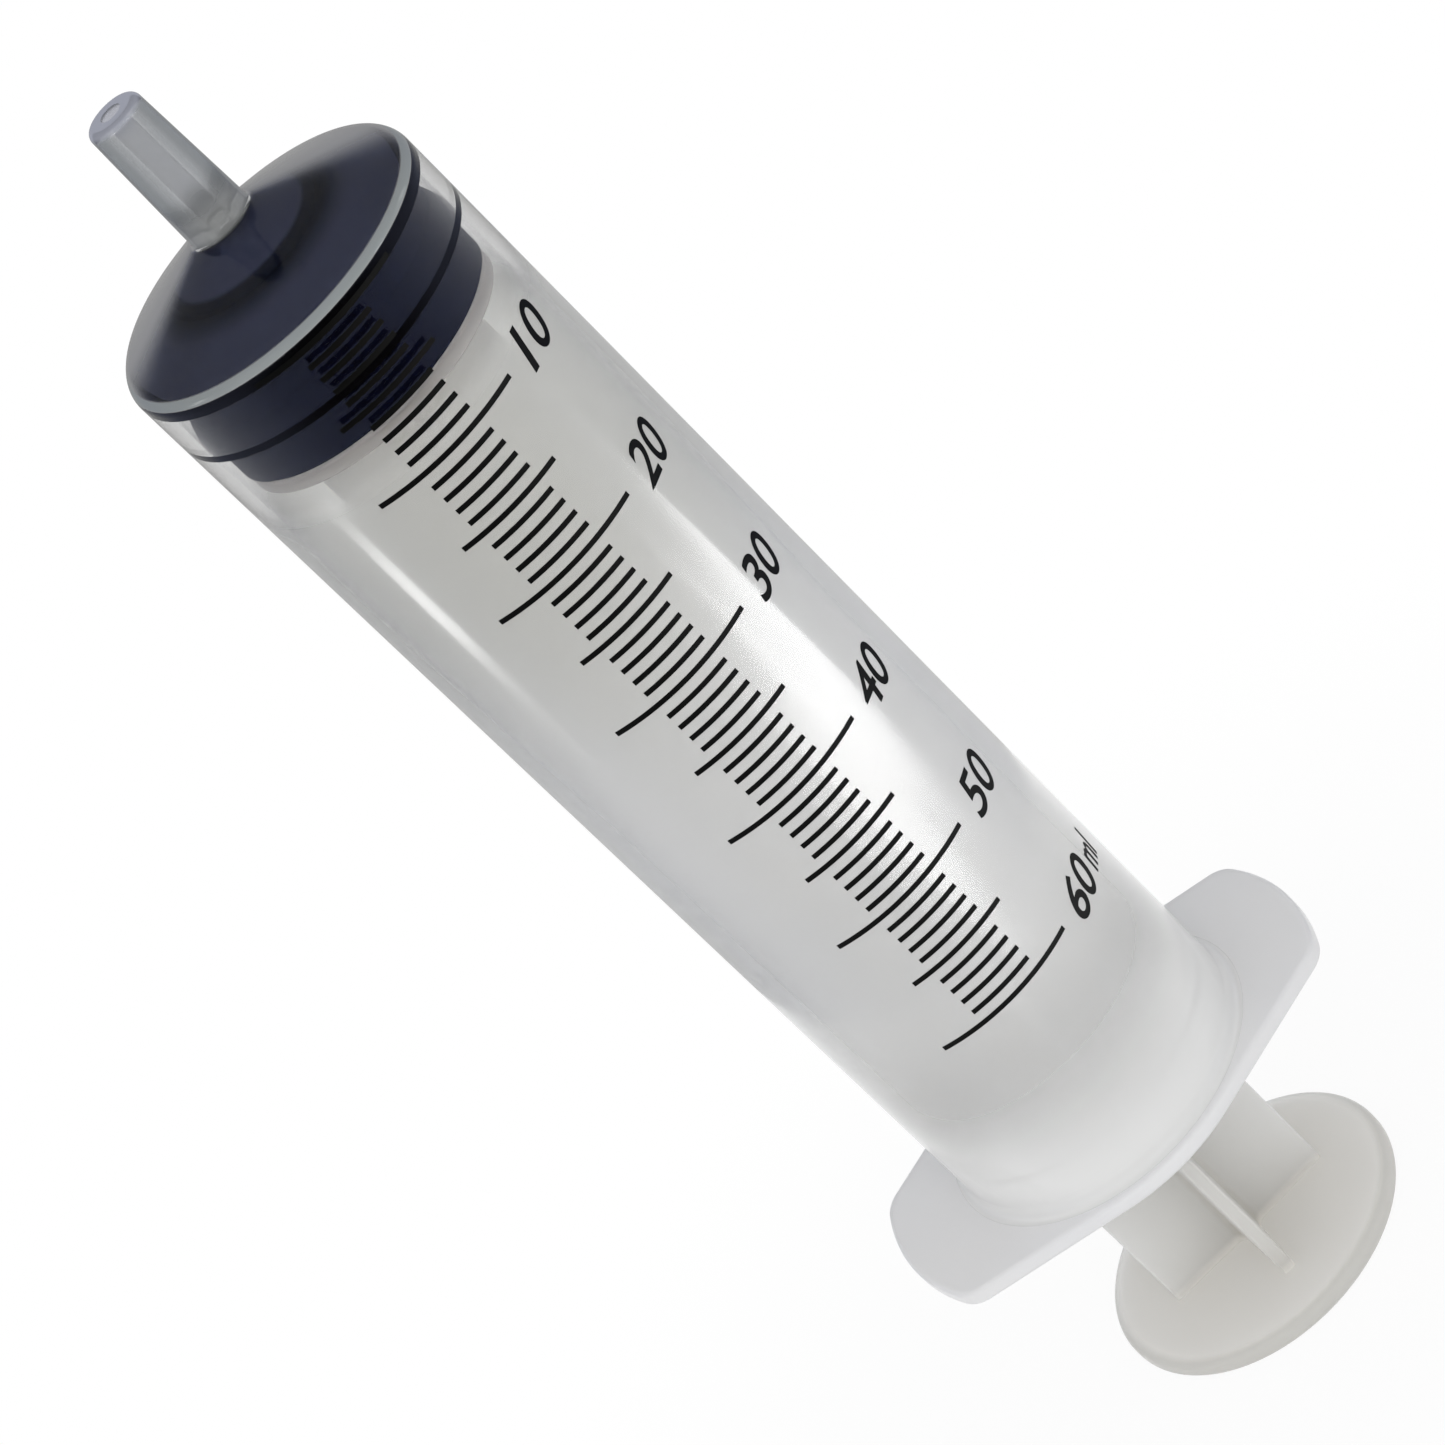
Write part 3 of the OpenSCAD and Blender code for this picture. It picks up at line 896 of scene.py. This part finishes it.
def rod_pp():
    """Milky rod, through which light spreads, with painted light and shade by height from the disc to
    the carrier: the disc lighter, its rim and the vanes darker, the rod inside the barrel lighter,
    and the carrier darker.
    """
    f = Finish("plunger_pp_milky")
    height = f.height()
    cloud = f.noise(45, 3)
    # Painted light: the disc is lighter than the vanes, making up for the shade it stands in
    disc = f.blend(cloud, colour(0.78, 0.745, 0.675), colour(0.81, 0.775, 0.71))
    # Painted shade on the disc's rim
    rim = rise(f.from_axis(), *RIM_PAINTED_SHADE_FADE)
    disc = f.blend(rim, disc, colour(0.44, 0.43, 0.4))
    # Painted shade: the vanes are a darker copy of the same plastic
    vanes = f.blend(cloud, colour(0.46, 0.45, 0.42), colour(0.5, 0.485, 0.455))
    # Painted light: inside the barrel the rod is lighter, making up for light that the walls hold
    # back
    shaft_painted_light = f.blend(cloud, colour(0.96, 0.93, 0.885), colour(0.98, 0.96, 0.92))
    tint = f.blend(rise(height, *DISC_FADE), disc, vanes)
    tint = f.blend(rise(height, *SHAFT_PAINTED_LIGHT_FADE), tint, shaft_painted_light)
    tint = f.blend(rise(height, *CARRIER_FADE), tint, colour(0.42, 0.38, 0.37))
    f.set(
        Base_Color=tint, Roughness=0.45, IOR=PP_IOR, Subsurface_Weight=1.0,
        Subsurface_Radius=(1, 1, 1), Subsurface_Scale=20 * MM,
    )
    return f.material


def matt_rubber(f, grain, tint):
    """Finishes a rubber without gloss and with a fine moulded grain."""
    f.set(
        Base_Color=tint, Roughness=0.45, IOR=1.5, Specular_IOR_Level=0,
        Normal=f.bump(grain, 0.001 * MM),
    )
    return f.material


def rubber(name, dark, light):
    """Rubber between two tones."""
    f = Finish(name)
    grain = f.noise(200, 2)
    return matt_rubber(f, grain, f.blend(grain, dark, light))


def front_rubber():
    """Rubber of the front cone, painted paler as the lit copy of the side's rubber, with painted
    shade in and just outside its ring groove.
    """
    f = Finish("rubber_front_painted_light_and_shade")
    grain = f.noise(200, 2)
    r = f.from_axis()
    inside = rise(r, GROOVE_R - 1.1 * MM, GROOVE_R - 0.5 * MM)
    outside = rise(r, GROOVE_R + 0.5 * MM, GROOVE_R + 3.3 * MM)
    # Painted light: the front cone's paler tone
    pale = f.blend(grain, colour(0.043, 0.049, 0.093), colour(0.047, 0.054, 0.103))
    # Painted shade in and just outside the ring groove
    tint = f.blend(inside * (1 - outside), pale, colour(0.002, 0.004, 0.014))
    return matt_rubber(f, grain, tint)


def lay_rubber(stopper):
    """Front cone in its own rubber, painted lighter; squeezed ribs painted near black, as the shade
    of rubber with no air on it.
    """
    for face in stopper.data.polygons:
        centre = face.center
        r = math.hypot(centre.x, centre.y)
        if r > SQUEEZED_R:
            face.material_index = SQUEEZED_PAINTED_SHADE
        elif centre.z > FRONT_RUBBER_Z:
            face.material_index = FRONT_PAINTED_LIGHT
        else:
            face.material_index = SIDE


def print_ink():
    """Black ink, uneven in fine specks."""
    f = Finish("scale_print_ink")
    speck = f.noise(3000, 3)
    tint = f.blend(speck, colour(0.0015, 0.0015, 0.0012), colour(0.003, 0.0028, 0.0025))
    f.set(Base_Color=tint, Roughness=0.5, Specular_IOR_Level=0.12)
    return f.material


def dress(piece, body, slot, *materials):
    """Gives a piece its materials and its body; slot is not used."""
    piece.data.materials.clear()
    for material in materials:
        piece.data.materials.append(material)
    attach(piece, body)
    return piece


def make_floor():
    """White disc, which glows where it is seen and still shows the syringe's soft shadow."""
    bpy.ops.object.select_all(action="DESELECT")
    bpy.ops.mesh.primitive_circle_add(
        vertices=128, radius=FLOOR_R, fill_type="NGON", location=(0, 0, FLOOR_Z)
    )
    bpy.ops.object.transform_apply(location=True)
    floor = bpy.context.object
    floor.name = "floor_disc"
    f = Finish("floor_white")
    f.set(Base_Color=colour(0.9, 0.9, 0.9), Roughness=0.7)
    light = f.node("Emission", None, {"Color": WHITE, "Strength": 1.0})
    seen = f.ray("Camera").larger(f.ray("Glossy")).larger(f.ray("Transmission"))
    outer = rise(f.length(f.place()), 0.3 * FLOOR_R, 0.97 * FLOOR_R)
    share = seen * (FLOOR_GLOW + outer * (1 - FLOOR_GLOW))
    f.cover(share.larger(FLOOR_LEAST_GLOW), light)
    floor.data.materials.append(f.material)


class Studio(Finish):
    """The world, built with the same tools as a material."""

    def __init__(self, name):
        world = bpy.data.worlds.new(name)
        bpy.context.scene.world = world
        world.use_nodes = True
        self.tree = world.node_tree
        self.shader = self.tree.nodes["Background"]


def make_world():
    """White for the eye, pale for light; mirrors show it dark ahead and above, bluish beside."""
    f = Studio("studio")
    away = f.node("TexCoord", out="Generated")

    def towards(direction):
        settings = {"operation": "DOT_PRODUCT"}
        return f.node("VectorMath", settings, {0: away, 1: direction.normalized()}, out="Value")

    ahead = rise(towards(Vector((-0.05, -0.91, -0.41))), 0.3, 0.95)
    above = rise(towards(UP), 0.2, 0.6)
    beside = colour(0.18, 0.2, 0.3)
    mirrored = f.blend(ahead.larger(above), beside, colour(0.02, 0.02, 0.02))
    opposite = rise(towards(CAMERA_AIM - CAMERA_AT), 0.6, 1.0)
    mirrored = f.blend(opposite, mirrored, colour(0.4, 0.4, 0.4))
    straight = f.ray("Camera").larger(f.ray("Transmission"))
    lit = f.blend(f.ray("Glossy"), colour(0.76, 0.77, 0.78), mirrored)
    f.set(Color=f.blend(straight, lit, WHITE), Strength=1.0)


def make_lamp(name, towards, distance, centre, size, radiance, turn=0):
    """A soft panel that faces the barrel, in mm: centre is its shift in its own plane."""
    away = Vector(towards).normalized()
    data = bpy.data.lights.new(name, "AREA")
    data.shape = "RECTANGLE"
    data.size = size[0] * MM
    data.size_y = size[1] * MM
    data.energy = radiance * math.pi * data.size * data.size_y
    lamp = bpy.data.objects.new(name, data)
    bpy.context.scene.collection.objects.link(lamp)
    level = UP.cross(away).normalized()
    upright = away.cross(level)
    axes = Matrix((level, upright, away)).transposed()
    place = LAMP_AIM + (away * distance + level * centre[0] + upright * centre[1]) * MM
    spin = Matrix.Rotation(math.radians(turn), 4, "Z")
    lamp.matrix_world = Matrix.Translation(place) @ axes.to_4x4() @ spin
    lamp.visible_camera = False
    return lamp


def make_camera():
    """Camera of the photograph, turned about its own line of sight."""
    data = bpy.data.cameras.new("camera")
    data.lens = CAMERA_LENS
    data.clip_start = 0.01
    camera = bpy.data.objects.new("camera", data)
    bpy.context.scene.collection.objects.link(camera)
    look = (CAMERA_AIM - CAMERA_AT).to_track_quat("-Z", "Y") @ Quaternion(UP, CAMERA_ROLL)
    camera.matrix_world = Matrix.Translation(CAMERA_AT) @ look.to_matrix().to_4x4()
    bpy.context.scene.camera = camera


make_camera()
make_world()
make_floor()
make_lamp("strip_right_wide", TO_STRIP, 500, (100, 30), (260, 54), 10.5, turn=-1)
make_lamp("strip_right_middle", TO_STRIP, 500, (-140, 0), (260, 52), 10.5, turn=14)
make_lamp("strip_right_end", TO_STRIP, 500, (-355, -64), (180, 22), 8, turn=20)
make_lamp("streak_left", (-0.893, -0.03, -0.42), 500, (0, 26), (75, 25), 11)
make_lamp("key_left", (-0.7, -0.6, 0.5), 700, (0, 0), (500, 500), 0.5)
fill = make_lamp("fill_front", CAMERA_AT - CAMERA_AIM, 900, (0, 0), (500, 500), 2.5)
fill.visible_glossy = False

barrel = dress(
    make_barrel(), "barrel", "barrel_pp",
    outer_wall("barrel_pp_outside", WHITE), inner_wall(), flange_pp(), nozzle_bore(),
    inner_cone(), outer_wall("barrel_pp_front_cone", colour(0.45, 0.46, 0.5)),
)
lay_finishes(barrel)
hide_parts("barrel")
stopper = dress(
    make_stopper(), "stopper", "stopper_rubber",
    rubber("rubber_side", colour(0.002, 0.003, 0.013), colour(0.004, 0.005, 0.018)),
    # The front cone's rubber holds painted light, and painted shade at its groove
    front_rubber(),
    # Painted shade: the squeezed ribs' near black
    rubber("rubber_squeezed_painted_shade", colour(0.002, 0.002, 0.003), colour(0.003, 0.003, 0.004)),
)
lay_rubber(stopper)
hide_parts("stopper")
plunger = dress(make_plunger(), "plunger", "plunger_pp", rod_pp())
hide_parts("plunger_rod")
dress(make_scale(), "barrel", "scale_ink", print_ink())

bpy.context.scene.view_settings.view_transform = "Standard"
